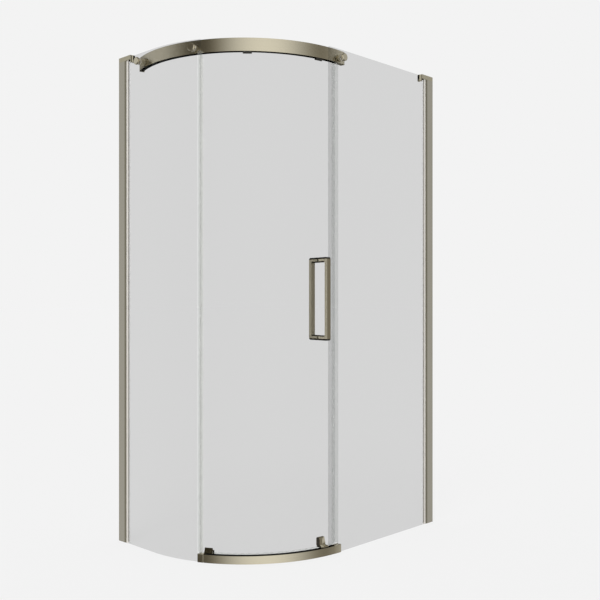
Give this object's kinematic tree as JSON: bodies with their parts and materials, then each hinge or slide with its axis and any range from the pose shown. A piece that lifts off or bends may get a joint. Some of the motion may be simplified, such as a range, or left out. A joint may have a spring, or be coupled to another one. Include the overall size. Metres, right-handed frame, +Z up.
{
  "type": "quadrant shower enclosure",
  "caption": "Offset quadrant shower enclosure: curved glass corner between two wall channels, with one curved door that slides behind the fixed glass.",
  "frame": {"origin": "corner of the room at the level of the shower tray's top, where the two wall planes meet", "axes": "+Z up; the back wall is the plane y = 0 and the side wall is the plane x = 0; the enclosure stands where x and y are negative, with its curved corner towards -X -Y"},
  "size_m": [1.1898, 0.8065, 2.057],
  "materials": {
    "bronze": "brushed bronze-anodised aluminium",
    "bronze_caps": "cast zinc end caps with a satin bronze coat",
    "bronze_handle": "brushed bronze-anodised aluminium bar",
    "fixed_glass": "clear toughened safety glass",
    "door_glass": "clear toughened safety glass, bent",
    "clear_seal": "translucent PVC",
    "pale_gasket": "pale grey soft PVC",
    "black_rubber": "black rubber",
    "dark_plastic": "dark bronze moulded plastic",
    "roller_plastic": "acetal, turned",
    "washer_plastic": "clear polycarbonate washers, matt",
    "steel": "stainless steel"
  },
  "bodies": {
    "frame": {"left_wall_channel": "bronze", "left_glass_channel": "bronze", "left_glazing_gasket": "pale_gasket", "left_channel_cap": "bronze_caps", "left_channel_screws": "steel", "right_wall_channel": "bronze", "right_glass_channel": "bronze", "right_glazing_gasket": "pale_gasket", "right_channel_cap": "bronze_caps", "right_channel_screws": "steel", "left_fixed_glass": "fixed_glass", "right_fixed_glass": "fixed_glass", "left_edge_seal": "clear_seal", "header_rail": "bronze", "header_end_left": "bronze_caps", "header_end_right": "bronze_caps", "header_stops": "black_rubber", "clamp_caps": "bronze", "clamp_washers": "washer_plastic", "clamp_spacers": "bronze", "clamp_studs": "steel", "threshold_rail": "bronze", "threshold_liner": "black_rubber", "threshold_end_left": "bronze_caps", "threshold_end_right": "bronze_caps", "threshold_end_inner": "bronze_caps", "threshold_shoe": "dark_plastic"},
    "door": {"door_glass": "door_glass", "hanger_left_block": "dark_plastic", "hanger_right_block": "dark_plastic", "hanger_pins": "steel", "guide_block": "dark_plastic", "guide_plate": "dark_plastic", "guide_screws": "steel", "guide_axle": "steel", "handle_outer": "bronze_handle", "handle_inner": "bronze_handle", "handle_washers": "washer_plastic", "handle_studs": "steel", "door_closing_seal": "clear_seal", "door_trailing_seal": "clear_seal", "door_bottom_seal": "clear_seal"},
    "roller_pair_left": {"rollers_left": "roller_plastic", "roller_axle_left": "steel"},
    "roller_pair_right": {"rollers_right": "roller_plastic", "roller_axle_right": "steel"},
    "guide_roller": {"guide_wheel": "roller_plastic"}
  },
  "joints": [
    {"name": "door_slide", "type": "hinge", "parent": "frame", "child": "door", "pos_m": [-0.641, -0.2445, 0], "axis": [0, 0, -1], "range_deg": [0, 41]},
    {"name": "left_roller_spin", "type": "hinge", "parent": "door", "child": "roller_pair_left", "pos_m": [-0.99625, -0.60854, 2.0308], "axis": [-0.6984, -0.7157, 0], "continuous": true},
    {"name": "right_roller_spin", "type": "hinge", "parent": "door", "child": "roller_pair_right", "pos_m": [-0.72933, -0.74542, 2.0308], "axis": [-0.1736, -0.9848, 0], "continuous": true},
    {"name": "guide_wheel_spin", "type": "hinge", "parent": "door", "child": "guide_roller", "pos_m": [-0.73062, -0.77265, 0.0215], "axis": [0, 0, -1], "continuous": true}
  ],
  "couplings": [
    {"joint": "left_roller_spin", "follows": "door_slide", "ratio": 42.388},
    {"joint": "right_roller_spin", "follows": "door_slide", "ratio": 42.388},
    {"joint": "guide_wheel_spin", "follows": "door_slide", "ratio": 96.4}
  ]
}
